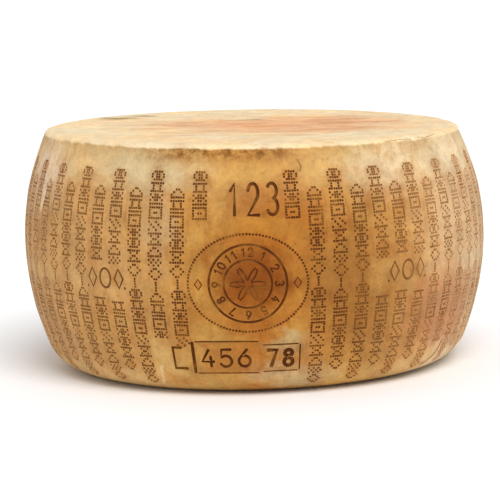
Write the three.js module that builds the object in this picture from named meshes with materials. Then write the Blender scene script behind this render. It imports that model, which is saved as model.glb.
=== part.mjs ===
// A whole wheel of hard aged cheese, lying flat on its lower face.
// It is one solid: a drum with bulging sides, a tight rolled edge round the upper face and a wider,
// settled corner under the sides. Millimetres, +Z up, origin at the middle of the footprint.
// The front, where the large marks are pressed into the rind, faces -Y.
import * as THREE from 'three';
import { mergeVertices } from 'three/addons/utils/BufferGeometryUtils.js';

// Driving dimensions of the wheel.
const HEIGHT = 235; // base to the rim of the upper face
const BELLY_RADIUS = 228.5; // widest, part-way up the side
const BELLY_HEIGHT = 125;
const CREASE_RADIUS = 205.5; // top of the side, where the rolled edge starts
const CORNER_RADIUS = 210.5; // foot of the side, where the lower corner starts
const RIM_RADIUS = 196; // edge of the level part of the upper face
const BASE_RADIUS = 159; // edge of the flat that the wheel rests on
const CREASE_DROP = 5; // below the upper face
const CORNER_RISE = 31; // above the base

// How the bulge fades from the belly to either end of the side: 2 would be a plain parabola.
const BULGE_POWER_UP = 2.1;
const BULGE_POWER_DOWN = 1.9;

// The edge was rolled over by the mould's lid, so it stands a little proud of the side.
const LIP_OVERHANG = 0.6;

// Reach of the curve handles that round the upper edge and the lower corner.
const EDGE_HANDLE_UP = 3.5;
const EDGE_HANDLE_IN = 5.5;
const CORNER_HANDLE_DOWN = 17;
const CORNER_HANDLE_OUT = 35.5;

// A wheel dries unevenly: its upper face sinks a little in the middle and leans to one side,
// and its plan isn't quite a circle.
const UPPER_FACE_DISH = 1.8;
const LEAN = 3.4; // the rim's rise on the high side, and its fall on the low one
const LEAN_AZIMUTH = THREE.MathUtils.degToRad(205); // direction of the high side, from +X to +Y
const PLAN_WAVES = [
  { lobes: 2, push: 0.4, turn: 0.4 },
  { lobes: 3, push: 0.35, turn: 1.9 },
  { lobes: 5, push: 0.2, turn: 3.1 },
];

// How finely the surface is cut.
const SEGMENTS_ROUND = 96;
const CORNER_STEPS = 7;
const SIDE_STEPS = 14;
const EDGE_STEPS = 4;
const FACE_RINGS = 3;

const RIND_COLOUR = 0xdcae68;

const at = (radius, height) => new THREE.Vector2(radius, height);

// Radius of the side at a height between the lower corner and the crease.
function sideRadius(height) {
  if (height >= BELLY_HEIGHT) {
    const share = (height - BELLY_HEIGHT) / (HEIGHT - CREASE_DROP - BELLY_HEIGHT);
    return BELLY_RADIUS - (BELLY_RADIUS - CREASE_RADIUS) * share ** BULGE_POWER_UP;
  }
  const share = (BELLY_HEIGHT - height) / (BELLY_HEIGHT - CORNER_RISE);
  return BELLY_RADIUS - (BELLY_RADIUS - CORNER_RADIUS) * share ** BULGE_POWER_DOWN;
}

// The lower corner leaves the base level and meets the side along the side's own slope.
function cornerPoints() {
  const slope = (BULGE_POWER_DOWN * (BELLY_RADIUS - CORNER_RADIUS)) / (BELLY_HEIGHT - CORNER_RISE);
  const downSide = at(-slope, -1).setLength(CORNER_HANDLE_DOWN);
  const meets = at(CORNER_RADIUS, CORNER_RISE);
  const curve = new THREE.CubicBezierCurve(
    at(BASE_RADIUS, 0),
    at(BASE_RADIUS + CORNER_HANDLE_OUT, 0),
    meets.clone().add(downSide),
    meets,
  );
  return curve.getPoints(CORNER_STEPS);
}

// The upper edge rolls over from the lip to the level face.
function edgePoints() {
  const lip = at(CREASE_RADIUS + LIP_OVERHANG, HEIGHT - CREASE_DROP);
  const curve = new THREE.CubicBezierCurve(
    lip,
    at(lip.x, lip.y + EDGE_HANDLE_UP),
    at(RIM_RADIUS + EDGE_HANDLE_IN, HEIGHT),
    at(RIM_RADIUS, HEIGHT),
  );
  return curve.getPoints(EDGE_STEPS);
}

// Half of the wheel's section, from the middle of its base round to the middle of its upper face.
function sectionOutline() {
  const outline = [];
  for (let ring = 0; ring < FACE_RINGS; ring++) {
    outline.push(at((BASE_RADIUS * ring) / FACE_RINGS, 0));
  }
  outline.push(...cornerPoints());
  for (let step = 1; step <= SIDE_STEPS; step++) {
    const height = THREE.MathUtils.lerp(CORNER_RISE, HEIGHT - CREASE_DROP, step / SIDE_STEPS);
    outline.push(at(sideRadius(height), height));
  }
  outline.push(...edgePoints());
  for (let ring = FACE_RINGS - 1; ring >= 0; ring--) {
    const share = ring / FACE_RINGS;
    outline.push(at(RIM_RADIUS * share, HEIGHT - UPPER_FACE_DISH * (1 - share * share)));
  }
  return outline;
}

// Moves the points of the round wheel to where drying has left them. The base stays flat.
function settle(positions) {
  const point = new THREE.Vector3();
  for (let index = 0; index < positions.count; index++) {
    point.fromBufferAttribute(positions, index);
    const radius = Math.hypot(point.x, point.y);
    const azimuth = Math.atan2(point.y, point.x);
    let push = 0;
    for (const wave of PLAN_WAVES) {
      push += wave.push * Math.cos(wave.lobes * azimuth + wave.turn);
    }
    const grown = 1 + (push * radius) / BELLY_RADIUS ** 2;
    const aboveBelly = Math.max(0, (point.z - BELLY_HEIGHT) / (HEIGHT - BELLY_HEIGHT));
    const lean = (LEAN * radius * Math.cos(azimuth - LEAN_AZIMUTH)) / CREASE_RADIUS;
    positions.setXYZ(index, point.x * grown, point.y * grown, point.z + lean * aboveBelly);
  }
}

function wheelGeometry() {
  const turned = new THREE.LatheGeometry(sectionOutline(), SEGMENTS_ROUND);
  turned.deleteAttribute('normal');
  turned.deleteAttribute('uv');
  turned.rotateX(Math.PI / 2);
  const geometry = mergeVertices(turned, 0.001);
  settle(geometry.attributes.position);
  geometry.computeBoundingBox();
  const middle = geometry.boundingBox.getCenter(new THREE.Vector3());
  geometry.translate(-middle.x, -middle.y, 0);
  geometry.computeVertexNormals();
  return geometry;
}

const rind = new THREE.MeshStandardMaterial({ color: RIND_COLOUR, roughness: 0.55, metalness: 0 });
const wheel = new THREE.Mesh(wheelGeometry(), rind);
wheel.name = 'cheese_wheel';

const group = new THREE.Group();
group.add(wheel);

export default group;
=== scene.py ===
"""A whole wheel of hard aged cheese, lying flat, with the marks of its mould pressed into the rind.

The skin is laid out flat, as the marking band is: x runs round the wheel from the middle of the front,
y runs up the side from the belly, and z stands out of the rind. The marks are sunk into the flat skin,
and then it is drawn round the wheel. Plain numbers are millimetres; MM turns them into metres.
"""
import math

import bpy
import numpy as np
from mathutils import Matrix, Vector, geometry, kdtree, noise


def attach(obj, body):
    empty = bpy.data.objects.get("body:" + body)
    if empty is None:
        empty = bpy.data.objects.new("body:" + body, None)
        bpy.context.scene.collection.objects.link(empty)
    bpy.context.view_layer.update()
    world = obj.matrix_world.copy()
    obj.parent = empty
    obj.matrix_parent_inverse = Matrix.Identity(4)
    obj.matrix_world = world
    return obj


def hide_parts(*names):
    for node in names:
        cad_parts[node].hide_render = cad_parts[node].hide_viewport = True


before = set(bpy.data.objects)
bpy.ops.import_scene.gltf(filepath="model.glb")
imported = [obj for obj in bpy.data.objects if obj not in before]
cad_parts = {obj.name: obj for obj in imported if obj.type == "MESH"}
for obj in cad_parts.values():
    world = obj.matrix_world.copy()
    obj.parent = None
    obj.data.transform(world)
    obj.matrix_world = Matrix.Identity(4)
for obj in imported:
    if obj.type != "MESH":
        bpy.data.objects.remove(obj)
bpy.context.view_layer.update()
MM = 0.001

# ---------------------------------------------------------------------------------------------
# The view. A long lens looks down a little onto the wheel from straight in front, and the
# picture is tilted by less than two degrees.
VIEW_DISTANCE = 2.600
VIEW_HEIGHT = 0.4804
VIEW_YAW = math.radians(-0.106)
VIEW_PITCH = math.radians(-8.117)
VIEW_ROLL = math.radians(1.64)
VIEW_LENS = 188.4  # millimetres, on a sensor 36 wide

camera_data = bpy.data.cameras.new("camera")
camera_data.lens = VIEW_LENS
camera_data.sensor_width = 36
camera_data.clip_end = 60
camera = bpy.data.objects.new("camera", camera_data)
bpy.context.scene.collection.objects.link(camera)
camera.matrix_world = (
    Matrix.Translation((0, -VIEW_DISTANCE, VIEW_HEIGHT))
    @ Matrix.Rotation(-VIEW_YAW, 4, "Z")
    @ Matrix.Rotation(math.pi / 2 + VIEW_PITCH, 4, "X")
    @ Matrix.Rotation(-VIEW_ROLL, 4, "Z")
)
bpy.context.scene.camera = camera

# ---------------------------------------------------------------------------------------------
# The bare wheel. Curd is pressed in a round mould and then stands in a steel ring that lets its
# sides bulge. The mould's lid rolls the upper edge over, and the lower corner settles rounder.
HEIGHT = 235
BELLY_RADIUS = 228.5
BELLY_HEIGHT = 125
CREASE_RADIUS = 205.5
CREASE_HEIGHT = 230
CORNER_RADIUS = 210.5
CORNER_RISE = 31
RIM_RADIUS = 196
BASE_RADIUS = 159
BULGE_POWER_UP = 2.1
BULGE_POWER_DOWN = 1.9
LIP_OVERHANG = 0.6
EDGE_HANDLE_UP = 3.5
EDGE_HANDLE_IN = 5.5
CORNER_HANDLE_DOWN = 17
CORNER_HANDLE_OUT = 35.5
UPPER_FACE_DISH = 1.8

GIRTH = 2 * math.pi * BELLY_RADIUS
BAND_MIDDLE = -7.6  # of the large marks, round the side from the front
SEAM = BAND_MIDDLE - GIRTH / 2  # where the marking band's ends meet, at the back


def bezier(start, handle_a, handle_b, end, steps):
    t = np.linspace(0, 1, steps + 1)[:, None]
    points = [np.array(p, float) for p in (start, handle_a, handle_b, end)]
    weights = [(1 - t) ** 3, 3 * t * (1 - t) ** 2, 3 * t * t * (1 - t), t**3]
    return sum(w * p for w, p in zip(weights, points))


def side_radius(height):
    up = np.clip((height - BELLY_HEIGHT) / (CREASE_HEIGHT - BELLY_HEIGHT), 0, None)
    down = np.clip((BELLY_HEIGHT - height) / (BELLY_HEIGHT - CORNER_RISE), 0, None)
    drawn_in = (BELLY_RADIUS - CREASE_RADIUS) * up**BULGE_POWER_UP
    return BELLY_RADIUS - drawn_in - (BELLY_RADIUS - CORNER_RADIUS) * down**BULGE_POWER_DOWN


def wheel_section():
    """Half of the wheel's outline as (radius, height), from the middle of the base to that of the top."""
    base = np.stack([np.linspace(0, BASE_RADIUS, 60), np.zeros(60)], -1)
    slope = BULGE_POWER_DOWN * (BELLY_RADIUS - CORNER_RADIUS) / (BELLY_HEIGHT - CORNER_RISE)
    down_side = np.array([-slope, -1]) / math.hypot(slope, 1) * CORNER_HANDLE_DOWN
    foot = np.array([CORNER_RADIUS, CORNER_RISE])
    corner = bezier((BASE_RADIUS, 0), (BASE_RADIUS + CORNER_HANDLE_OUT, 0), foot + down_side, foot, 40)
    heights = np.linspace(CORNER_RISE, CREASE_HEIGHT, 120)
    side = np.stack([side_radius(heights), heights], -1)
    lip = CREASE_RADIUS + LIP_OVERHANG
    edge = bezier(
        (lip, CREASE_HEIGHT), (lip, CREASE_HEIGHT + EDGE_HANDLE_UP),
        (RIM_RADIUS + EDGE_HANDLE_IN, HEIGHT), (RIM_RADIUS, HEIGHT), 20,
    )
    radii = np.linspace(RIM_RADIUS, 0, 60)
    top = np.stack([radii, HEIGHT - UPPER_FACE_DISH * (1 - (radii / RIM_RADIUS) ** 2)], -1)
    return np.concatenate([base[:-1], corner, side[1:], edge, top[1:]])


section = wheel_section()
section_length = np.concatenate([[0], np.cumsum(np.hypot(*np.diff(section, axis=0).T))])
belly_index = int(np.argmax(section[:, 0]))
FOOT_LENGTH = float(section_length[belly_index])  # from the middle of the base up to the belly


def length_up_to(height):
    """How far up the section, from the belly, the side reaches a height."""
    side = (section[:, 0] > BASE_RADIUS + 1) & (section[:, 1] <= CREASE_HEIGHT)
    return float(np.interp(height, section[side, 1], section_length[side])) - FOOT_LENGTH


LIP_LENGTH = length_up_to(CREASE_HEIGHT)
TOP_LENGTH = float(section_length[-1]) - FOOT_LENGTH


def bare_skin():
    """Points of the flat skin: 10 mm apart on the side, and closer along the edge that crumbles."""
    corner_start = BASE_RADIUS - FOOT_LENGTH
    corner_end = length_up_to(CORNER_RISE)
    rim = TOP_LENGTH - RIM_RADIUS
    stretches = [
        (-FOOT_LENGTH, corner_start, 4, 144), (corner_start, corner_end, 9, 144),
        (corner_end, LIP_LENGTH - 9, 21, 144), (LIP_LENGTH - 9, LIP_LENGTH - 3, 2, 288),
        (LIP_LENGTH - 3, rim, 6, 432), (rim, TOP_LENGTH, 13, 144),
    ]
    points = []
    for start, end, steps, columns in stretches:
        for row in np.linspace(start, end, steps, endpoint=False):
            points += [(SEAM + GIRTH * column / columns, row) for column in range(columns + 1)]
    return points + [(SEAM + GIRTH * column / 144, TOP_LENGTH) for column in range(145)]


def new_object(name, data):
    made = bpy.data.objects.new(name, data)
    bpy.context.scene.collection.objects.link(made)
    return made


def new_mesh(name, points, edges=(), faces=()):
    mesh = bpy.data.meshes.new(name)
    mesh.from_pydata([tuple(p) for p in points], edges, faces)
    return new_object(name, mesh)


def new_lines(name, lines, pointed=False):
    """One curve object of straight-sided lines: each is (half width, points, whether it closes)."""
    curve = bpy.data.curves.new(name, "CURVE")
    curve.dimensions = "3D"
    for half_width, points, closed in lines:
        places = [(Vector((*point, 0)[:3]), half_width) for point in points]
        if pointed and not closed:
            places = [*line_end(places[1], places[0]), *places, *line_end(places[-2], places[-1])[::-1]]
        spline = curve.splines.new("POLY")
        spline.points.add(len(places) - 1)
        for point, (place, radius) in zip(spline.points, places):
            point.co = (*place * MM, 1)
            point.radius = radius
        spline.use_cyclic_u = closed
    return new_object(name, curve)


def line_end(before, last):
    """Two more places past a line's end, where it runs out in a round tip."""
    place, half_width = last
    onward = (place - before[0]).normalized() * half_width
    return [(place + 0.7 * onward, 0.04 * half_width), (place + 0.4 * onward, 0.7 * half_width)]


section_line = new_lines("wheel_section", [(1, [(r, 0, h) for r, h in section], False)])

# ---------------------------------------------------------------------------------------------
# The dotted columns. The marking band is a plastic strip with hundreds of short pins, laid round
# the fresh cheese for a day. Its columns of small ornaments stand all round the wheel.
COLUMN_COUNT = 65
COLUMN_PITCH = GIRTH / COLUMN_COUNT
PIN_PITCH = 2.45
ORNAMENT_GAP = 3.3
PIN_WANDER = 0.08
TALL_COLUMN_TOP = 88
SHORT_COLUMN_TOP = 72

ORNAMENTS = {
    "grain": (".####.", "#.##.#", "#.##.#", ".####."),
    "ladder": ("######", ".#..#.", ".#..#.", "######"),
    "star": ("#.##.#", ".####.", "#.##.#"),
    "bar": ("######",),
    "box": ("######", "#....#", "#.##.#", "#....#", "######"),
    "hourglass": ("######", ".#..#.", "..##..", ".#..#.", "######"),
    "peak": ("..##..", ".#..#.", "#....#", "######"),
    "twill": ("#..#..", ".#..#.", "..#..#", "#..#.."),
    "lozenge": ("..##..", ".#..#.", "#....#", ".#..#.", "..##.."),
    "weave": ("#.#.#.", ".#.#.#", "#.#.#."),
    "dash": ("#", "#", "#", "#"),
}
LONG_ROW = ["grain", "ladder", "star", "bar", "box", "twill", "hourglass", "peak", "weave", "lozenge"]
SHORT_ROW = ["peak", "ladder", "bar", "box", "star", "grain", "hourglass", "lozenge"]

random = np.random.default_rng(65)


def ornament_length(name):
    return (len(ORNAMENTS[name]) - 1) * PIN_PITCH


def ornament_pins(name, middle, top):
    return [
        (middle + (place - (len(line) - 1) / 2) * PIN_PITCH, top - row * PIN_PITCH)
        for row, line in enumerate(ORNAMENTS[name])
        for place, sign in enumerate(line)
        if sign == "#"
    ]


def column_pins(number, keep_clear):
    """One column from top to bottom. An ornament that would touch a larger mark is left out."""
    middle = BAND_MIDDLE + number * COLUMN_PITCH
    tall = number % 2 == 0
    start = TALL_COLUMN_TOP if tall else SHORT_COLUMN_TOP
    names = LONG_ROW + ["dash"] + SHORT_ROW if tall else SHORT_ROW + ["dash"] + LONG_ROW
    pins = []
    for name in names:
        end = start - ornament_length(name)
        clear = all(
            middle + 7 < left or middle - 7 > right or start + 1 < low or end - 1 > high
            for left, right, low, high in keep_clear
        )
        if clear:
            pins += ornament_pins(name, middle, start)
        start = end - ORNAMENT_GAP
    return pins


# The larger marks keep these places clear of the columns: (left, right, lowest, highest).
FRONT_TOP = (-40, 26, 34, 100)
FRONT_FIELD = (-66, 50, -130, 38)
PLATE_SIZE = (49, 21)
PLATE_MIDDLES = [(-152.5, -12), (154.2, -12), (452, -12), (-455, -12)]
CORNER_MARK_FIELD = (-92, -67, -130, -76)
SCRATCHED_FIELD = (208, 222, -130, -96)  # rubbed bare low down at the right


def band_pins():
    keep_clear = [FRONT_TOP, FRONT_FIELD, CORNER_MARK_FIELD, SCRATCHED_FIELD]
    for across, up in PLATE_MIDDLES:
        wide, high = PLATE_SIZE
        keep_clear.append((across - wide / 2, across + wide / 2, up - high / 2 - 1, up + high / 2 + 1))
    pins = []
    for number in range(-(COLUMN_COUNT // 2), COLUMN_COUNT // 2 + 1):
        pins += column_pins(number, keep_clear)
    return pins


pin_places = band_pins()

# ---------------------------------------------------------------------------------------------
# The dial, in the middle of the front. A brass stamp is pressed inside an oval of pins: a ring of
# plain numbers round a rosette that is drawn with a compass.
DIAL_MIDDLE = (-7.6, -14.5)
OVAL = (56.4, 46.0)
OVAL_PIN_PITCH = 3.1
DIAL_OUTER = 36.5
DIAL_INNER = 22.5
ROSETTE_RADIUS = 18.5
DIAL_FIGURE_RING = 29.5
DIAL_FIGURE_SIZE = (4.4, 7.6)
DIAL_STROKE = 0.82
SIDE_LOZENGE_OFF = 46.5
SIDE_LOZENGE_REACH = (3.4, 5.2)
ROSETTE_STROKE = 0.68


def arc(middle, radii, start, end, steps):
    """Points on an ellipse between two angles in degrees, counted from the right, up and over."""
    angles = np.radians(np.linspace(start, end, steps + 1))
    return [(middle[0] + radii[0] * math.cos(a), middle[1] + radii[1] * math.sin(a)) for a in angles]


def oval_pins():
    around = math.pi * (3 * sum(OVAL) - math.sqrt((3 * OVAL[0] + OVAL[1]) * (OVAL[0] + 3 * OVAL[1])))
    fine = arc(DIAL_MIDDLE, OVAL, 0, 360, 720)
    lengths = np.concatenate([[0], np.cumsum(np.hypot(*np.diff(np.array(fine), axis=0).T))])
    count = round(around / OVAL_PIN_PITCH)
    places = np.arange(count) * lengths[-1] / count
    return list(zip(np.interp(places, lengths, [p[0] for p in fine]),
                    np.interp(places, lengths, [p[1] for p in fine])))


pin_places += oval_pins()

# Each figure is drawn in strokes on a box one wide and one high. Strokes never touch each other,
# as in a stencil. A stroke is its points, and whether it closes.
FIGURES = {
    "0": [(arc((0.5, 0.5), (0.48, 0.5), 0, 342, 19), True)],
    "1": [([(0.2, 0.76), (0.56, 1.0), (0.56, 0.0)], False)],
    "2": [(arc((0.5, 0.7), (0.45, 0.3), 170, -28, 9) + [(0.05, 0.0), (1.0, 0.0)], False)],
    "3": [(arc((0.48, 0.76), (0.42, 0.24), 150, -80, 9)
           + arc((0.48, 0.27), (0.47, 0.27), 70, -155, 10), False)],
    "4": [([(0.62, 1.0), (0.02, 0.3), (1.0, 0.3)], False), ([(0.74, 0.6), (0.74, 0.4)], False),
          ([(0.74, 0.2), (0.74, 0.0)], False)],
    "5": [([(0.92, 1.0), (0.18, 1.0), (0.12, 0.55)]
           + arc((0.47, 0.32), (0.48, 0.32), 125, -155, 12), False)],
    "6": [([(0.72, 1.0)] + arc((0.5, 0.32), (0.46, 0.32), 160, 470, 14), False)],
    "7": [([(0.02, 1.0), (0.96, 1.0), (0.36, 0.0)], False)],
    "8": [(arc((0.5, 0.79), (0.38, 0.19), 0, 342, 15), True),
          (arc((0.5, 0.25), (0.46, 0.25), 0, 342, 15), True)],
    "9": [([(0.28, 0.0)] + arc((0.5, 0.68), (0.46, 0.32), -20, 290, 14), False)],
}


def figure_lines(text, middle, size, gap, half_width, turn=0):
    """The strokes of a number, centred on a point. Size is that of one figure, between stroke middles."""
    wide, high = size
    total = len(text) * wide + (len(text) - 1) * gap
    cos, sin = math.cos(turn), math.sin(turn)
    lines = []
    for place, figure in enumerate(text):
        left = -total / 2 + place * (wide + gap)
        for points, closed in FIGURES[figure]:
            laid = [(left + x * wide, (y - 0.5) * high) for x, y in points]
            placed = [(middle[0] + x * cos - y * sin, middle[1] + x * sin + y * cos) for x, y in laid]
            lines.append((half_width, placed, closed))
    return lines


def lozenge(middle, reach):
    """Four corners: right, top, left and bottom."""
    return [(middle[0] + x * reach[0], middle[1] + y * reach[1])
            for x, y in ((1, 0), (0, 1), (-1, 0), (0, -1))]


def dial_lines():
    lines = []
    for radius, half_width in ((DIAL_OUTER, 1.0), (DIAL_INNER, 0.9)):
        lines.append((half_width, arc(DIAL_MIDDLE, (radius, radius), 0, 356, 89), True))
    for hour in range(1, 13):
        angle = math.radians(90 - 30 * hour)
        middle = (DIAL_MIDDLE[0] + DIAL_FIGURE_RING * math.cos(angle),
                  DIAL_MIDDLE[1] + DIAL_FIGURE_RING * math.sin(angle))
        lines += figure_lines(str(hour), middle, DIAL_FIGURE_SIZE, 2.2, DIAL_STROKE, angle - math.pi / 2)
    for petal in range(6):
        turn = 60 * petal
        tip = math.radians(turn)
        for side in (-1, 1):
            # A petal's two edges are arcs about the neighbouring petals' tips.
            about = (DIAL_MIDDLE[0] + ROSETTE_RADIUS * math.cos(tip + side * math.pi / 3),
                     DIAL_MIDDLE[1] + ROSETTE_RADIUS * math.sin(tip + side * math.pi / 3))
            start = turn + side * 60 + 180 - side * 12
            end = turn + side * 60 + 180 - side * 54
            edge = arc(about, (ROSETTE_RADIUS, ROSETTE_RADIUS), start, end, 8)
            lines.append((ROSETTE_STROKE, edge, False))
    for side in (-1, 1):
        middle = (DIAL_MIDDLE[0] + side * SIDE_LOZENGE_OFF, DIAL_MIDDLE[1])
        lines.append((0.6, lozenge(middle, SIDE_LOZENGE_REACH), True))
    return lines


mark_lines = dial_lines()

# ---------------------------------------------------------------------------------------------
# The type. Loose metal figures are set by hand under and over the dial: a number above it, two
# boxed numbers below it and a corner mark at their left.
mark_lines += figure_lines("123", (-0.6, 63), (11.0, 29), 7.4, 1.4)
mark_lines += figure_lines("456", (-32, -87.5), (12.5, 18), 6.0, 1.35)
mark_lines += figure_lines("78", (22.5, -88.5), (9.5, 17), 6.5, 1.8)
TYPE_BOXES = [
    (1.5, [(-65, -71.5), (-65, -103)]),
    (0.6, [(-62, -70.5), (0.5, -70.5)]),
    (0.6, [(-62, -104), (0.5, -104)]),
    (0.6, [(5.5, -74.5), (40, -74.5)]),
    (0.6, [(5.5, -102.5), (40, -102.5)]),
    (0.7, [(42, -75.5), (42, -101.5)]),
    (1.5, [(-77, -77), (-86, -77), (-86, -99), (-73, -99)]),
]
mark_lines += [(half_width, points, False) for half_width, points in TYPE_BOXES]


# ---------------------------------------------------------------------------------------------
# The plates. Small plates with three upright figures interrupt the columns every quarter or so
# of the way round: an upright lozenge on each side of a ring.
PLATE_STROKE = 1.0
PLATE_HALF_HEIGHT = 9.2  # of its figures
PLATE_LOZENGE_OFF = 16
PLATE_DOT_OFF = 22.6
PLATE_DOT_LENGTH = 1.2


def plate_lines(middle):
    foot = middle[1] - PLATE_HALF_HEIGHT
    lines = []
    for side in (-1, 1):
        at = (middle[0] + side * PLATE_LOZENGE_OFF, middle[1])
        lines.append((PLATE_STROKE, lozenge(at, (5, PLATE_HALF_HEIGHT)), True))
        dot = middle[0] + side * PLATE_DOT_OFF
        lines.append((PLATE_STROKE, [(dot, foot), (dot, foot + PLATE_DOT_LENGTH)], False))
    lines.append((PLATE_STROKE, arc(middle, (6.4, PLATE_HALF_HEIGHT), 0, 345, 23), True))
    return lines


for plate_middle in PLATE_MIDDLES:
    mark_lines += plate_lines(plate_middle)

pin_places = np.array(pin_places) + random.normal(0, PIN_WANDER, (len(pin_places), 2))
pin_layout = new_mesh("pin_layout", [(x * MM, y * MM, 0) for x, y in pin_places])
line_layout = new_lines("line_layout", mark_lines, pointed=True)


# ---------------------------------------------------------------------------------------------
# Creases and cuts. The rind has soft folds where the cloth was bunched, and cracks and scratches
# from drying and handling. Each is a line on the flat skin: half width, depth, darkness (below
# nothing where it is paler than the rind), points.
CREASE_STEP = 1.2
CREASE_WANDER = 0.9
LIP_CUT = LIP_LENGTH + 3
CREASES = [
    (3.2, 0.9, -0.7, [(-247, 104), (-251, 84), (-257, 62), (-262, 44)]),
    (2.6, 0.8, -0.7, [(-102, -98), (-105, -112), (-108, -126)]),
    (0.8, 0.6, 0.7, [(46, 98), (48, 93), (47, 88)]),
    (2.0, 1.0, 1.0, [(226, -94), (224, -103), (219, -111), (211, -117), (203, -119)]),
    (0.9, 0.6, 0.6, [(150, LIP_CUT), (172, LIP_CUT + 1), (188, LIP_CUT)]),
    (0.9, 0.6, 0.6, [(196, LIP_CUT + 1), (214, LIP_CUT), (236, LIP_CUT + 2)]),
]


def crease_route(points):
    """Places along a line, a step apart, that stray a little to each side."""
    points = np.array(points, float)
    lengths = np.concatenate([[0], np.cumsum(np.hypot(*np.diff(points, axis=0).T))])
    along = np.arange(0, lengths[-1], CREASE_STEP)
    route = np.stack([np.interp(along, lengths, points[:, i]) for i in (0, 1)], -1)
    strays = [[noise.noise(Vector((x / 5, y / 5, level))) for level in (0, 9)] for x, y in route]
    return route + CREASE_WANDER * np.array(strays)


def crease_points():
    """Points of the skin in and beside each crease, so that it can sink there."""
    found = []
    for half_width, _, _, points in CREASES:
        route = crease_route(points)
        onward = np.gradient(route, axis=0)
        sideways = np.stack([-onward[:, 1], onward[:, 0]], -1) / np.hypot(*onward.T)[:, None]
        for share in (-1, -0.5, 0, 0.5, 1):
            found += [tuple(p) for p in route + sideways * share * half_width]
    return found


def creased(places):
    """How deep places lie in a crease or cut, in mm, and how dark they are there."""
    depth, darkness = np.zeros(len(places)), np.zeros(len(places))
    for half_width, deepest, dark, points in CREASES:
        route = crease_route(points)
        beside = (places > route.min(0) - half_width) & (places < route.max(0) + half_width)
        near = np.flatnonzero(beside.all(1))
        away = np.linalg.norm(places[near, None] - route[None], axis=2).min(1) / half_width
        share = np.clip(1 - away**2, 0, 1)
        depth[near] = np.maximum(depth[near], deepest * share)
        darkness[near] = np.where(share > 0, dark * share, darkness[near])
    return depth, darkness


# ---------------------------------------------------------------------------------------------
# The rind. It is the cheese itself, dried hard, brined and oiled: tan, ochre and orange-brown in
# soft patches, with the weave of the draining cloth in it and a browned crust along the lip.


def tone(code):
    """A colour as it looks, such as C4903F, in the linear numbers that a shader takes."""
    shares = [int(code[i:i + 2], 16) / 255 for i in (0, 2, 4)]
    return (*[c / 12.92 if c <= 0.04045 else ((c + 0.055) / 1.055) ** 2.4 for c in shares], 1)


def socket_of(sockets, name):
    return next(s for s in sockets if s.enabled and s.name == name)


def put(tree, kind, feeds=None, **settings):
    """Adds a node, sets it up, and feeds its inputs with values or with other nodes' outputs."""
    node = tree.nodes.new(kind)
    for name, value in settings.items():
        setattr(node, name, value)
    for name, value in (feeds or {}).items():
        socket = node.inputs[name] if isinstance(name, int) else socket_of(node.inputs, name)
        if isinstance(value, bpy.types.Node):
            value = next(s for s in value.outputs if s.enabled)
        if isinstance(value, bpy.types.NodeSocket):
            tree.links.new(value, socket)
        else:
            socket.default_value = value
    return node


def calc(tree, operation, first, second=0.0, third=0.0):
    return put(tree, "ShaderNodeMath", {0: first, 1: second, 2: third}, operation=operation)


def between(tree, value, low, high, least=0.0, most=1.0):
    """Rises smoothly from least to most while the value goes from low to high."""
    return put(tree, "ShaderNodeMapRange", {
        "Value": value, "From Min": low, "From Max": high, "To Min": least, "To Max": most,
    }, interpolation_type="SMOOTHSTEP")


def over(tree, share, under, colour, kind="MIX"):
    """Lays a colour over another, by a share from 0 to 1."""
    return put(tree, "ShaderNodeMix", {
        "Factor": share, "A": under, "B": colour}, data_type="RGBA", blend_type=kind)


def cloud(tree, place, size, detail=3.0, rough=0.55, at=(0, 0, 0), stretch=(1, 1, 1)):
    """Soft noise between 0 and 1, in patches about size mm across."""
    moved = put(tree, "ShaderNodeMapping", {"Vector": place, "Location": at, "Scale": stretch})
    return put(tree, "ShaderNodeTexNoise", {
        "Vector": moved, "Scale": 1 / (size * MM), "Detail": detail, "Roughness": rough}).outputs["Fac"]


def on_side(across, up):
    """The point in space of a place on the flat skin, in metres."""
    radius, height = (float(np.interp(up + FOOT_LENGTH, section_length, section[:, i])) for i in (0, 1))
    turn = across / BELLY_RADIUS
    return (radius * math.sin(turn) * MM, -radius * math.cos(turn) * MM, height * MM)


def stain_group():
    """A soft-edged patch of colour about a point: its edge follows whatever shakes the place."""
    tree = bpy.data.node_groups.new("Stain", "ShaderNodeTree")
    face = tree.interface
    face.new_socket("Colour", in_out="OUTPUT", socket_type="NodeSocketColor")
    for label, kind in (("Under", "Color"), ("Place", "Vector"), ("Middle", "Vector"),
                        ("Reach", "Vector"), ("Stain", "Color"), ("Strength", "Float")):
        face.new_socket(label, in_out="INPUT", socket_type="NodeSocket" + kind)
    given = tree.nodes.new("NodeGroupInput").outputs
    result = tree.nodes.new("NodeGroupOutput").inputs
    away = put(tree, "ShaderNodeVectorMath", {0: given["Place"], 1: given["Middle"]}, operation="SUBTRACT")
    away = put(tree, "ShaderNodeVectorMath", {0: away, 1: given["Reach"]}, operation="DIVIDE")
    length = put(tree, "ShaderNodeVectorMath", {0: away}, operation="LENGTH").outputs["Value"]
    share = calc(tree, "MULTIPLY", between(tree, length, 1.0, 0.25), given["Strength"])
    tree.links.new(socket_of(over(tree, share, given["Under"], given["Stain"]).outputs, "Result"),
                   result["Colour"])
    return tree


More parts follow.
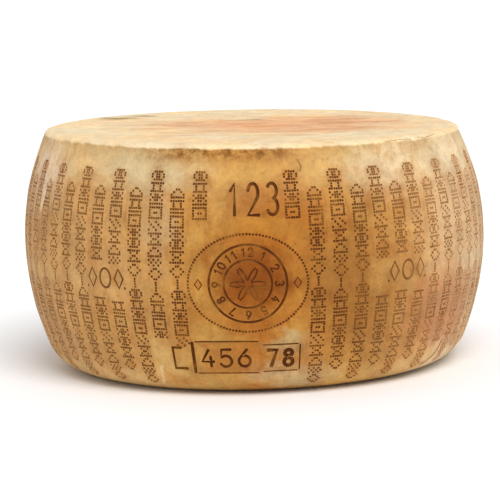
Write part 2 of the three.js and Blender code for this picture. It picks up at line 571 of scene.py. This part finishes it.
# The tones of the rind, as they look in plain light.
RIND_TONES = {
    "honey": "C09658", "sand": "D2AC72", "straw": "D2A864", "gold": "C4964C", "amber": "B07428",
    "chestnut": "905414", "umber": "A27234", "cream": "DCC6A0", "mauve": "DEC4A8", "rose": "C49068",
    "dust": "C4B088", "ash": "B09A6C", "buttermilk": "E4D0A8", "peach": "DCA474", "smudge": "8C8068",
    "olive": "786438", "blush": "C07C60", "oat": "E0BE84", "whey": "D8B078", "oil": "CC9C64",
    "mark_halo_brown": "D0A470", "toast": "B0782C", "crumb": "7C4A14", "butter": "E8D2AA", "custard": "E2C496",
    "wiped": "E6BC8C", "dirt": "4E3014", "rubbed": "E6CCA0", "flush": "EBCDB4", "speck": "6E4416",
}
# The side's tint from one side of the back, round the front, to the other: (share of a turn, tone).
TINTS_ROUND = [
    (0.00, "honey"), (0.24, "sand"), (0.33, "sand"), (0.40, "sand"), (0.46, "gold"), (0.50, "amber"),
    (0.56, "gold"), (0.60, "honey"), (0.63, "sand"), (0.67, "cream"), (0.84, "honey"), (1.00, "honey"),
]
# Patches on the side: middle and reach round the side and up it, in mm, tone, strength.
SIDE_STAINS = [
    (-104, 90, 80, 34, "dust", 0.8),  # dull and pale under the lip
    (-92, 34, 24, 56, "dust", 0.6),  # a pale streak beside the dial
    (-270, 76, 60, 56, "mauve", 0.8),
    (-150, -70, 80, 50, "straw", 0.7),
    (150, -56, 56, 60, "honey", 0.8),
    (0, 88, 70, 24, "gold", 0.6),  # golden brown over the dial
    (30, 38, 62, 34, "amber", 0.7),
    (6, -4, 84, 66, "amber", 0.5),
    (0, -10, 54, 38, "chestnut", 0.95),  # darkest inside it
    (-60, -52, 22, 30, "amber", 0.5),
    (92, -26, 62, 88, "umber", 0.8),
    (92, 36, 18, 12, "chestnut", 0.5),
    (136, 8, 26, 12, "umber", 0.4),
    (-42, -66, 34, 20, "gold", 0.7),
    (28, -74, 36, 17, "ash", 0.8),  # greyish under the dial
    (34, -106, 60, 20, "dust", 0.6),
    (152, 86, 84, 38, "cream", 0.7),  # cream under the lip at the right
    (205, 24, 56, 60, "cream", 0.5),
    (250, 66, 70, 58, "cream", 0.8),
    (212, -58, 80, 66, "rose", 0.75),  # pink-brown at the lower right
    (176, -104, 46, 16, "sand", 0.6),
    (-78, -113, 28, 10, "amber", 0.5),
]

# Patches on the upper face: middle and reach in mm, tone, strength.
TOP_STAINS = [
    (-150, -20, 70, 90, "buttermilk", 0.7),
    (10, 30, 160, 90, "peach", 0.85),  # peach, across the middle
    (60, -30, 130, 70, "peach", 0.7),
    (100, 70, 100, 70, "peach", 0.7),
    (6, 86, 22, 12, "smudge", 0.8),
    (-140, 108, 24, 20, "olive", 0.8),
    (-112, 128, 24, 12, "olive", 0.6),
    (110, 74, 34, 9, "blush", 0.6),
    (132, 40, 40, 12, "blush", 0.5),
    (150, 90, 60, 50, "buttermilk", 0.5),
]


def washed(tree, colour, share, strength, name, kind="MIX"):
    """Lays one of the rind's tones over a colour, by a share from 0 to 1 times a strength."""
    share = share if strength == 1 else calc(tree, "MULTIPLY", share, strength)
    return over(tree, share, colour, tone(RIND_TONES[name]), kind)


def tint_round(tree, place, tints):
    """A tint that drifts round the side, given as (share of a turn from the back, code)."""
    spot = put(tree, "ShaderNodeSeparateXYZ", {"Vector": place})
    turn = calc(tree, "ARCTAN2", spot.outputs["X"], calc(tree, "MULTIPLY", spot.outputs["Y"], -1.0))
    ramp = put(tree, "ShaderNodeValToRGB", {"Fac": calc(tree, "MULTIPLY_ADD", turn, 1 / (2 * math.pi), 0.5)})
    stops = ramp.color_ramp.elements
    stops.remove(stops[1])
    for share, code in tints:
        stop = stops[0] if share == 0 else stops.new(share)
        stop.color = tone(code)
    return ramp.outputs["Color"]


def rind_material():
    material = bpy.data.materials.new("cheese_rind")
    material.use_nodes = True
    tree = material.node_tree
    shader = tree.nodes["Principled BSDF"]
    place = put(tree, "ShaderNodeTexCoord").outputs["Object"]
    spot = put(tree, "ShaderNodeSeparateXYZ", {"Vector": place})
    flat = put(tree, "ShaderNodeAttribute", attribute_name="flat").outputs["Vector"]
    flat_spot = put(tree, "ShaderNodeSeparateXYZ", {"Vector": flat})
    shake = put(tree, "ShaderNodeTexNoise", {
        "Vector": place, "Scale": 1 / (26 * MM), "Detail": 4.0, "Roughness": 0.62}).outputs["Color"]
    shake = put(tree, "ShaderNodeVectorMath", {0: shake, 1: (0.5, 0.5, 0.5)}, operation="SUBTRACT")
    shaken = put(tree, "ShaderNodeVectorMath", {
        0: shake, 1: (46 * MM, 46 * MM, 46 * MM), 2: place}, operation="MULTIPLY_ADD")
    broad = cloud(tree, place, 62)
    middling = cloud(tree, place, 15, 4.0, 0.6, at=(3, 1, 2))
    fine = cloud(tree, place, 3.4, 3.0, 0.6, at=(5, 5, 1))

    # Round the side, the tint drifts from golden to orange-brown and to cream.
    colour = tint_round(tree, shaken, [(share, RIND_TONES[name]) for share, name in TINTS_ROUND])

    # Painted light: the side is paler low down, where its foot lies in shade, and paler high up near the
    # lip, where more light falls from above.
    low = between(tree, spot.outputs["Z"], 90 * MM, 5 * MM)
    colour = washed(tree, colour, low, 0.12, "oat")
    high = between(tree, spot.outputs["Z"], 150 * MM, 225 * MM)
    colour = washed(tree, colour, high, 0.25, "dust")

    stain = stain_group()
    for across, up, reach_round, reach_up, name, strength in SIDE_STAINS:
        colour = put(tree, "ShaderNodeGroup", {
            "Under": colour, "Place": shaken, "Middle": on_side(across, up),
            "Reach": (reach_round * MM, reach_round * MM, reach_up * MM),
            "Stain": tone(RIND_TONES[name]), "Strength": strength}, node_tree=stain)

    # Oil and whey have run down it in brown streaks and dried in small blotches.
    streaks = cloud(tree, place, 13, 5.0, 0.68, at=(2, 4, 0), stretch=(1, 1, 0.38))
    streaks = between(tree, streaks, 0.5, 0.68)
    colour = washed(tree, colour, streaks, 0.4, "whey", "MULTIPLY")
    blotches = between(tree, cloud(tree, place, 7, 4.0, 0.7, at=(6, 1, 9)), 0.57, 0.7)
    colour = washed(tree, colour, blotches, 0.35, "oil", "MULTIPLY")

    # Round the pins and type the rind is a shade browner, spreading a little from each rim.
    near_mark = put(tree, "ShaderNodeAttribute", attribute_name="near_mark").outputs["Fac"]
    near_mark = between(tree, near_mark, 0.35, 1.0)
    colour = washed(tree, colour, near_mark, 0.55, "mark_halo_brown", "MULTIPLY")

    # The crust under the lip: browned crumbs, thickest left of the front's middle.
    under_lip = between(tree, flat_spot.outputs["Y"], (LIP_LENGTH - 15) * MM, (LIP_LENGTH - 2) * MM)
    halo = between(tree, flat_spot.outputs["Y"], (LIP_LENGTH - 26) * MM, (LIP_LENGTH - 4) * MM)
    ragged = between(tree, cloud(tree, place, 8, 4.0, 0.68, at=(1, 7, 3)), 0.38, 0.62)
    stretch_left = between(tree, flat_spot.outputs["X"], -140 * MM, -70 * MM)
    stretch_right = between(tree, flat_spot.outputs["X"], 60 * MM, 10 * MM)
    thick = calc(tree, "MULTIPLY_ADD", calc(tree, "MULTIPLY", stretch_left, stretch_right), 0.8, 0.15)
    colour = washed(tree, colour, calc(tree, "MULTIPLY", halo, thick), 0.6, "toast")
    crust = calc(tree, "MULTIPLY", calc(tree, "MULTIPLY", under_lip, ragged), thick)
    colour = washed(tree, colour, crust, 1, "crumb")

    # The upper face is paler: cream with peach patches.
    top_colour = washed(tree, tone(RIND_TONES["butter"]), between(tree, broad, 0.42, 0.6), 1, "custard")
    for x, y, reach_x, reach_y, name, strength in TOP_STAINS:
        top_colour = put(tree, "ShaderNodeGroup", {
            "Under": top_colour, "Place": shaken, "Middle": (x * MM, y * MM, HEIGHT * MM),
            "Reach": (reach_x * MM, reach_y * MM, 1.0),
            "Stain": tone(RIND_TONES[name]), "Strength": strength}, node_tree=stain)

    # Its middle was wiped across in soft streaks.
    wiped = between(tree, cloud(tree, place, 24, 2.0, 0.5, at=(7, 3, 0), stretch=(0.4, 1.2, 1)), 0.44, 0.62)
    from_middle = put(tree, "ShaderNodeVectorMath", {
        0: place, 1: (0, 0, HEIGHT * MM)}, operation="DISTANCE").outputs["Value"]
    wiped = calc(tree, "MULTIPLY", wiped, between(tree, from_middle, 170 * MM, 90 * MM, 0.1, 0.5))
    top_colour = washed(tree, top_colour, wiped, 1, "wiped", "MULTIPLY")
    wavering = calc(tree, "SUBTRACT", middling, 0.5)
    top_edge = calc(tree, "MULTIPLY_ADD", wavering, 6 * MM, flat_spot.outputs["Y"])
    is_top = between(tree, top_edge, (LIP_LENGTH - 0.5) * MM, (LIP_LENGTH + 3) * MM)
    colour = over(tree, is_top, colour, top_colour)

    # Cuts hold dirt, and a fold's crest is rubbed pale.
    cut = put(tree, "ShaderNodeAttribute", attribute_name="cut").outputs["Fac"]
    colour = washed(tree, colour, between(tree, cut, 0.2, 0.8, 0.0, 0.85), 1, "dirt")
    colour = washed(tree, colour, between(tree, cut, -0.05, -0.6, 0.0, 0.5), 1, "rubbed")

    # Soft mottling all over, a finer grain, and a few specks.
    for noise_field, low, high, darkest, lightest in (
        (broad, 0.36, 0.64, 0.93, 1.06), (middling, 0.34, 0.66, 0.92, 1.07), (fine, 0.32, 0.68, 0.93, 1.06),
    ):
        mottle = between(tree, noise_field, low, high, darkest, lightest)
        colour = over(tree, 1.0, colour, mottle, "MULTIPLY")
    flush = between(tree, cloud(tree, place, 22, 4.0, 0.62, at=(8, 2, 6)), 0.52, 0.7)
    colour = washed(tree, colour, flush, 0.35, "flush", "MULTIPLY")
    specks = put(tree, "ShaderNodeTexVoronoi", {"Vector": place, "Scale": 1 / (30 * MM)})
    speck = between(tree, specks.outputs["Distance"], 0.035, 0.02)
    colour = washed(tree, colour, speck, 0.6, "speck")
    tree.links.new(socket_of(colour.outputs, "Result"), shader.inputs["Base Color"])

    # Sheen: waxy where it was handled, duller in the grain.
    rough = between(tree, middling, 0.35, 0.65, 0.52, 0.68)
    tree.links.new(rough.outputs["Result"], shader.inputs["Roughness"])

    # Weave of the cloth, and low wrinkles.
    weft = cloud(tree, flat, 1.6, 1.0, 0.5, stretch=(0.25, 1, 1))
    warp = cloud(tree, flat, 1.6, 1.0, 0.5, stretch=(1, 0.25, 1))
    weave = calc(tree, "ADD", weft, warp)
    weave = calc(tree, "MULTIPLY", weave, calc(tree, "SUBTRACT", 1.0, is_top))
    wrinkles = calc(tree, "MULTIPLY_ADD", middling, 1.6, weave)
    wrinkles = calc(tree, "MULTIPLY_ADD", fine, 0.7, wrinkles)
    bump = put(tree, "ShaderNodeBump", {"Height": wrinkles, "Strength": 0.5, "Distance": 0.5 * MM})
    tree.links.new(bump.outputs["Normal"], shader.inputs["Normal"])
    shader.inputs["Specular IOR Level"].default_value = 0.13
    return material


rind = rind_material()

# ---------------------------------------------------------------------------------------------
# The marks' own surface. Where plastic and brass pressed in, fat and dust have darkened the hollows:
# dark brown at the front, paler and redder round to the sides. Each is (share of a turn, tone).
MARK_TINTS = [
    (0.0, "6C441C"), (0.32, "94704A"), (0.38, "805A30"), (0.42, "643C1A"), (0.46, "582E10"),
    (0.55, "582C0E"), (0.58, "6E4620"), (0.62, "966A3E"), (0.68, "AC8058"), (1.0, "6C441C"),
]
WORN_MARK = "80521F"  # in patches, where a hollow has been rubbed


def mark_material():
    material = bpy.data.materials.new("burnt_mark")
    material.use_nodes = True
    tree = material.node_tree
    shader = tree.nodes["Principled BSDF"]
    place = put(tree, "ShaderNodeTexCoord").outputs["Object"]
    worn = between(tree, cloud(tree, place, 18, 4.0, 0.6), 0.45, 0.66)
    colour = over(tree, worn, tint_round(tree, place, MARK_TINTS), tone(WORN_MARK))
    tree.links.new(socket_of(colour.outputs, "Result"), shader.inputs["Base Color"])
    shader.inputs["Roughness"].default_value = 0.7
    shader.inputs["Specular IOR Level"].default_value = 0.08
    return material


burnt_mark = mark_material()

# ---------------------------------------------------------------------------------------------
# Pressing. The pins and the type sink into the soft skin. A pin leaves a four-sided pit, and a line
# of type leaves a trough with a flat floor, deeper where the line is bolder.
PIN_WIDTH = 2.9  # from corner to corner of the four-sided pit
PIN_DEPTH = 1.15
LINE_DEPTH = 0.85  # for a line with a half width of 1
LINE_MOUTH = 1.12  # half widths of the trough, as shares of the line's own
LINE_FLOOR = 0.6

trough = new_lines("trough", [
    (1, [(-LINE_MOUTH, 0), (-LINE_FLOOR, LINE_DEPTH), (LINE_FLOOR, LINE_DEPTH), (LINE_MOUTH, 0)], False)])


def new_geometry_tree(name, inputs):
    tree = bpy.data.node_groups.new(name, "GeometryNodeTree")
    face = tree.interface
    face.new_socket("Geometry", in_out="OUTPUT", socket_type="NodeSocketGeometry")
    face.new_socket("Geometry", in_out="INPUT", socket_type="NodeSocketGeometry")
    for label, kind in inputs.items():
        face.new_socket(label, in_out="INPUT", socket_type="NodeSocket" + kind)
    return tree, tree.nodes.new("NodeGroupInput").outputs, tree.nodes.new("NodeGroupOutput").inputs


def shape_of(tree, thing):
    return socket_of(put(tree, "GeometryNodeObjectInfo", {"Object": thing}).outputs, "Geometry")


def stamp_tree():
    """The hollows alone: a pit on each point of the layout, and a trough along each line."""
    tree, given, result = new_geometry_tree("Stamp", {
        "Lines": "Object", "Trough": "Object", "Pin Width": "Float", "Pin Depth": "Float",
        "Unevenness": "Float", "Seed": "Int", "Material": "Material",
    })
    pit = put(tree, "GeometryNodeMeshCone", {
        "Vertices": 4, "Radius Top": calc(tree, "MULTIPLY", given["Pin Width"], 0.5), "Radius Bottom": 0.0,
        "Depth": given["Pin Depth"]}, fill_type="NONE")
    sunk = put(tree, "ShaderNodeCombineXYZ", {"Z": calc(tree, "MULTIPLY", given["Pin Depth"], -1.0)})
    pit = put(tree, "GeometryNodeTransform", {"Geometry": pit.outputs["Mesh"], "Translation": sunk})
    size = put(tree, "FunctionNodeRandomValue", {
        "Min": calc(tree, "SUBTRACT", 1.0, given["Unevenness"]),
        "Max": calc(tree, "ADD", 1.0, given["Unevenness"]), "Seed": given["Seed"]})
    angle = put(tree, "FunctionNodeRandomValue", {
        "Min": math.radians(38), "Max": math.radians(52), "Seed": given["Seed"]})
    pits = put(tree, "GeometryNodeInstanceOnPoints", {
        "Points": put(tree, "GeometryNodeMeshToPoints", {"Mesh": given["Geometry"]}), "Instance": pit,
        "Rotation": put(tree, "ShaderNodeCombineXYZ", {"Z": angle}), "Scale": size})
    level = put(tree, "GeometryNodeSetCurveNormal", {"Curve": shape_of(tree, given["Lines"])}, mode="Z_UP")
    troughs = put(tree, "GeometryNodeCurveToMesh", {
        "Curve": level, "Profile Curve": shape_of(tree, given["Trough"]),
        "Scale": put(tree, "GeometryNodeInputRadius")})
    hollows = put(tree, "GeometryNodeJoinGeometry", {"Geometry": pits})
    tree.links.new(troughs.outputs["Mesh"], hollows.inputs["Geometry"])
    whole = put(tree, "GeometryNodeRealizeInstances", {"Geometry": hollows})
    covered = put(tree, "GeometryNodeSetMaterial", {"Geometry": whole, "Material": given["Material"]})
    tree.links.new(covered.outputs["Geometry"], result["Geometry"])
    return tree


def shape_with(tree, piece, values):
    """Runs a tree on an object and gives the result as a plain mesh."""
    modifier = piece.modifiers.new(tree.name, "NODES")
    modifier.node_group = tree
    for item in tree.interface.items_tree:
        if item.in_out == "INPUT" and item.name in values:
            modifier[item.identifier] = values[item.name]
    evaluated = piece.evaluated_get(bpy.context.evaluated_depsgraph_get())
    made = bpy.data.meshes.new_from_object(evaluated)
    piece.modifiers.remove(modifier)
    return made


stamp = shape_with(stamp_tree(), pin_layout, {
    "Lines": line_layout, "Trough": trough, "Pin Width": PIN_WIDTH * MM, "Pin Depth": PIN_DEPTH * MM,
    "Unevenness": 0.08, "Seed": 12, "Material": burnt_mark,
})


def points_of(mesh):
    """A mesh's points in mm."""
    flat_list = np.zeros(len(mesh.vertices) * 3, np.float32)
    mesh.vertices.foreach_get("co", flat_list)
    return flat_list.reshape(-1, 3).astype(float) / MM


def clear_of_marks(points):
    """The points of the bare skin that no mark takes up."""
    taken = [(x, y, PIN_WIDTH / 2 + 0.5) for x, y in pin_places]
    for half_width, line, closed in mark_lines:
        for start, end in zip(line, line[1:] + (line[:1] if closed else [])):
            steps = max(2, int(math.dist(start, end)))
            taken += [(*np.add(start, np.subtract(end, start) * share), half_width * LINE_MOUTH + 0.6)
                      for share in np.linspace(0, 1, steps)]
    tree = kdtree.KDTree(len(taken))
    for index, (x, y, reach) in enumerate(taken):
        tree.insert((x, y, 0), index)
    tree.balance()
    widest = max(reach for x, y, reach in taken)
    return [
        (x, y) for x, y in points
        if all(distance > taken[index][2] for _, index, distance in tree.find_range((x, y, 0), widest))
    ]


def relief(places):
    """How far the skin stands out or in, in mm: low swells all over, and crumbs and nicks along the lip."""
    radius = np.interp(places[:, 1] + FOOT_LENGTH, section_length, section[:, 0])
    height = np.interp(places[:, 1] + FOOT_LENGTH, section_length, section[:, 1])
    turn = places[:, 0] / BELLY_RADIUS
    round_wheel = np.stack([radius * np.sin(turn), -radius * np.cos(turn), height], -1)
    swells = np.array([
        noise.noise(Vector(p / 38)) + 0.5 * noise.noise(Vector(p / 17)) for p in round_wheel])
    swells *= 0.35 * np.clip((height - 3) / 20, 0, 1)  # the base stays flat
    along_lip = np.exp(-((places[:, 1] - LIP_LENGTH - 1.5) / 4.5) ** 2)
    near_lip = np.flatnonzero(along_lip > 0.01)
    for index in near_lip:
        crumbs = noise.fractal(Vector(round_wheel[index] / 7), 0.6, 2.1, 3)
        swells[index] += along_lip[index] * (0.9 * crumbs - 0.25)
    return swells


def joined_sheet():
    """One sheet of triangles through every point of the marks and of the bare skin between them."""
    hollows = points_of(stamp)
    bare = clear_of_marks(bare_skin() + crease_points())
    given_points = [Vector(p[:2]) for p in hollows] + [Vector(p) for p in bare]
    given_edges = [tuple(edge.vertices) for edge in stamp.edges]
    places, _, triangles, came_from, _, _ = geometry.delaunay_2d_cdt(
        given_points, given_edges, [], 0, 0.0005)
    depth = np.array([
        min((hollows[i, 2] for i in ids if i < len(hollows)), default=0.0) for ids in came_from])
    triangles = np.array(triangles)
    marked = (depth[triangles] < -0.02).any(1)

    # Where two hollows run into each other, the rim of one that lies inside the other sinks too.
    on_rim = np.zeros(len(depth), bool)
    on_rim[triangles[~marked].ravel()] = True
    for index in np.flatnonzero(~on_rim & (depth > -0.02)):
        around = np.unique(triangles[(triangles == index).any(1)])
        depth[index] = depth[around].mean()
    places = np.array([tuple(p) for p in places])
    sunk, darkness = creased(places)
    heights = depth + relief(places) - sunk
    sheet = new_mesh("skin", np.column_stack([places, heights]) * MM, (), triangles.tolist())
    sheet.data.attributes.new("cut", "FLOAT", "POINT").data.foreach_set("value", darkness)
    sheet.data.attributes.new("mark", "BOOLEAN", "FACE").data.foreach_set("value", marked)
    return sheet


skin = joined_sheet()


# Next the skin is drawn round the wheel's section, and its ends are joined at the back.
def drawing_tree():
    tree, given, result = new_geometry_tree("Draw round", {
        "Section": "Object", "Belly Radius": "Float", "Foot Length": "Float",
        "Rind": "Material", "Mark": "Material",
    })
    flat = put(tree, "GeometryNodeInputPosition")
    parts = put(tree, "ShaderNodeSeparateXYZ", {"Vector": flat})
    kept = put(tree, "GeometryNodeStoreNamedAttribute", {
        "Geometry": given["Geometry"], "Name": "flat", "Value": flat,
    }, data_type="FLOAT_VECTOR", domain="CORNER")
    along = calc(tree, "ADD", parts.outputs["Y"], given["Foot Length"])
    sample = put(tree, "GeometryNodeSampleCurve", {
        "Curves": shape_of(tree, given["Section"]), "Length": along}, mode="LENGTH")
    place = put(tree, "ShaderNodeSeparateXYZ", {"Vector": socket_of(sample.outputs, "Position")})
    slope = put(tree, "ShaderNodeSeparateXYZ", {"Vector": socket_of(sample.outputs, "Tangent")})
    radius = calc(tree, "MULTIPLY_ADD", parts.outputs["Z"], slope.outputs["Z"], place.outputs["X"])
    lowered = calc(tree, "MULTIPLY", parts.outputs["Z"], slope.outputs["X"])
    height = calc(tree, "SUBTRACT", place.outputs["Z"], lowered)
    turn = calc(tree, "DIVIDE", parts.outputs["X"], given["Belly Radius"])
    wrapped = put(tree, "ShaderNodeCombineXYZ", {
        "X": calc(tree, "MULTIPLY", radius, calc(tree, "SINE", turn)),
        "Y": calc(tree, "MULTIPLY", calc(tree, "MULTIPLY", radius, calc(tree, "COSINE", turn)), -1.0),
        "Z": height})
    drawn = put(tree, "GeometryNodeSetPosition", {"Geometry": kept, "Position": wrapped})
    closed = put(tree, "GeometryNodeMergeByDistance", {"Geometry": drawn, "Distance": 0.00002})

    # Nearness to a mark spreads a little from each rim, and the rims themselves are crisp.
    is_mark = put(tree, "GeometryNodeInputNamedAttribute", {"Name": "mark"}, data_type="BOOLEAN")
    share = put(tree, "GeometryNodeFieldOnDomain", {"Value": is_mark}, domain="FACE", data_type="FLOAT")
    touched = calc(tree, "GREATER_THAN", share, 0.01)
    on_points = put(tree, "GeometryNodeFieldOnDomain", {
        "Value": touched}, domain="POINT", data_type="FLOAT")
    spread = put(tree, "GeometryNodeBlurAttribute", {
        "Value": on_points, "Iterations": 1}, data_type="FLOAT")
    noted = put(tree, "GeometryNodeStoreNamedAttribute", {
        "Geometry": closed, "Name": "near_mark", "Value": spread}, data_type="FLOAT", domain="POINT")
    smooth = put(tree, "GeometryNodeSetShadeSmooth", {
        "Geometry": noted, "Shade Smooth": True}, domain="FACE")
    half_marked = put(tree, "FunctionNodeCompare", {
        "A": share, "B": 0.5, "Epsilon": 0.3}, operation="EQUAL")
    crisp = put(tree, "GeometryNodeSetShadeSmooth", {
        "Geometry": smooth, "Selection": half_marked, "Shade Smooth": False}, domain="EDGE")

    whole = put(tree, "GeometryNodeRealizeInstances", {"Geometry": crisp})
    covered = put(tree, "GeometryNodeSetMaterial", {"Geometry": whole, "Material": given["Rind"]})
    marked = put(tree, "GeometryNodeSetMaterial", {
        "Geometry": covered, "Selection": is_mark, "Material": given["Mark"]})
    tree.links.new(marked.outputs["Geometry"], result["Geometry"])
    return tree


skin.data.materials.append(rind)
mesh = shape_with(drawing_tree(), skin, {
    "Section": section_line, "Belly Radius": BELLY_RADIUS * MM, "Foot Length": FOOT_LENGTH * MM,
    "Rind": rind, "Mark": burnt_mark,
})


# For the bake, the skin is laid out flat on a square map: the side's front and back in two rows,
# and both round faces below them, smaller.
BAKE_MAP = "OFBake"  # the name of the map for the bake
MAP_MARGIN = 12  # at each end of a row, in mm
MAP_ROW_GAP = 0.006  # these and the next two are shares of the map's width
MAP_TOP_DIAMETER = 0.25
MAP_TOP_MIDDLE, MAP_BASE_MIDDLE = (0.14, 0.13), (0.42, 0.13)


def lay_out_map(mesh):
    flat_list = np.zeros(len(mesh.loops) * 3, np.float32)
    mesh.attributes["flat"].data.foreach_get("vector", flat_list)
    across, up = (flat_list.reshape(-1, 3)[:, :2].astype(float) / MM).T.reshape(2, -1, 3)
    scale = 1 / (GIRTH / 2 + 2 * MAP_MARGIN)
    disc_scale = MAP_TOP_DIAMETER / (2 * (TOP_LENGTH - LIP_LENGTH))
    corner_start = BASE_RADIUS - FOOT_LENGTH
    row_height = (LIP_LENGTH - corner_start) * scale + MAP_ROW_GAP

    from_front = across - BAND_MIDDLE
    at_back = np.abs(from_front.mean(1)) > GIRTH / 4
    turned = from_front - (np.sign(from_front.mean(1)) * GIRTH / 2)[:, None]
    u = 0.5 + scale * np.where(at_back[:, None], turned, from_front)
    v = 1 - row_height * (1 + at_back[:, None]) + (up - corner_start) * scale

    # The round faces keep their distance from the middle, and the base is seen from below.
    angle = across / BELLY_RADIUS
    for chosen, reach, middle, hand in (
        (up.mean(1) > LIP_LENGTH, TOP_LENGTH - up, MAP_TOP_MIDDLE, 1),
        (up.mean(1) < corner_start, up + FOOT_LENGTH, MAP_BASE_MIDDLE, -1),
    ):
        u = np.where(chosen[:, None], middle[0] + hand * disc_scale * reach * np.sin(angle), u)
        v = np.where(chosen[:, None], middle[1] - disc_scale * reach * np.cos(angle), v)
    spots = np.stack([u, v], -1).reshape(-1).astype(np.float32)
    mesh.uv_layers.new(name=BAKE_MAP).uv.foreach_set("vector", spots)


lay_out_map(mesh)

# The wheel settles as it dries: the upper face leans to one side, and the plan isn't quite round.
LEAN = 3.4
LEAN_AZIMUTH = math.radians(205)
PLAN_WAVES = [(2, 0.4, 0.4), (3, 0.35, 1.9), (5, 0.2, 3.1)]  # lobes, push in mm, turn


def settle(points):
    """Moves points, in mm, from the true turned form to where the wheel has settled."""
    x, y, z = points.T
    radius = np.hypot(x, y)
    azimuth = np.arctan2(y, x)
    push = sum(size * np.cos(lobes * azimuth + turn) for lobes, size, turn in PLAN_WAVES)
    grown = 1 + push * radius / BELLY_RADIUS**2
    above_belly = np.clip((z - BELLY_HEIGHT) / (HEIGHT - BELLY_HEIGHT), 0, None)
    lean = LEAN * radius * np.cos(azimuth - LEAN_AZIMUTH) / CREASE_RADIUS
    return np.stack([x * grown, y * grown, z + lean * above_belly], -1)


points = settle(points_of(mesh))
middle = (points.max(0) + points.min(0)) / 2
points -= (middle[0], middle[1], 0)
mesh.vertices.foreach_set("co", (points * MM).astype(np.float32).ravel())
mesh.update()

wheel = new_object("whole_wheel", mesh)
for helper in (skin, section_line, pin_layout, line_layout, trough):
    bpy.data.objects.remove(helper)

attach(wheel, "root")
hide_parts("cheese_wheel")

# ---------------------------------------------------------------------------------------------
# The room: a wide pale floor, soft light from all round, and one large soft light from above the
# camera's right.
FLOOR_REACH = 9  # metres
floor_corners = [(FLOOR_REACH * x, FLOOR_REACH * y, 0) for x, y in ((-1, -1), (1, -1), (1, 1), (-1, 1))]
floor = new_mesh("floor", floor_corners, (), [(0, 1, 2, 3)])
floor_paint = bpy.data.materials.new("floor_paint")
floor_paint.use_nodes = True
floor_paint.node_tree.nodes["Principled BSDF"].inputs["Base Color"].default_value = (0.92, 0.92, 0.92, 1)
floor_paint.node_tree.nodes["Principled BSDF"].inputs["Roughness"].default_value = 0.85
floor.data.materials.append(floor_paint)

world = bpy.data.worlds.new("room")
bpy.context.scene.world = world
world.use_nodes = True
world.node_tree.nodes["Background"].inputs["Color"].default_value = (1, 1, 1, 1)
world.node_tree.nodes["Background"].inputs["Strength"].default_value = 0.72

sun_data = bpy.data.lights.new("key", "SUN")
sun_data.energy = 2.1
sun_data.angle = math.radians(40)
key = new_object("key", sun_data)
key.rotation_euler = Vector((-0.30, 0.80, -1.05)).to_track_quat("-Z", "Y").to_euler()
bpy.context.scene.view_settings.view_transform = "Standard"
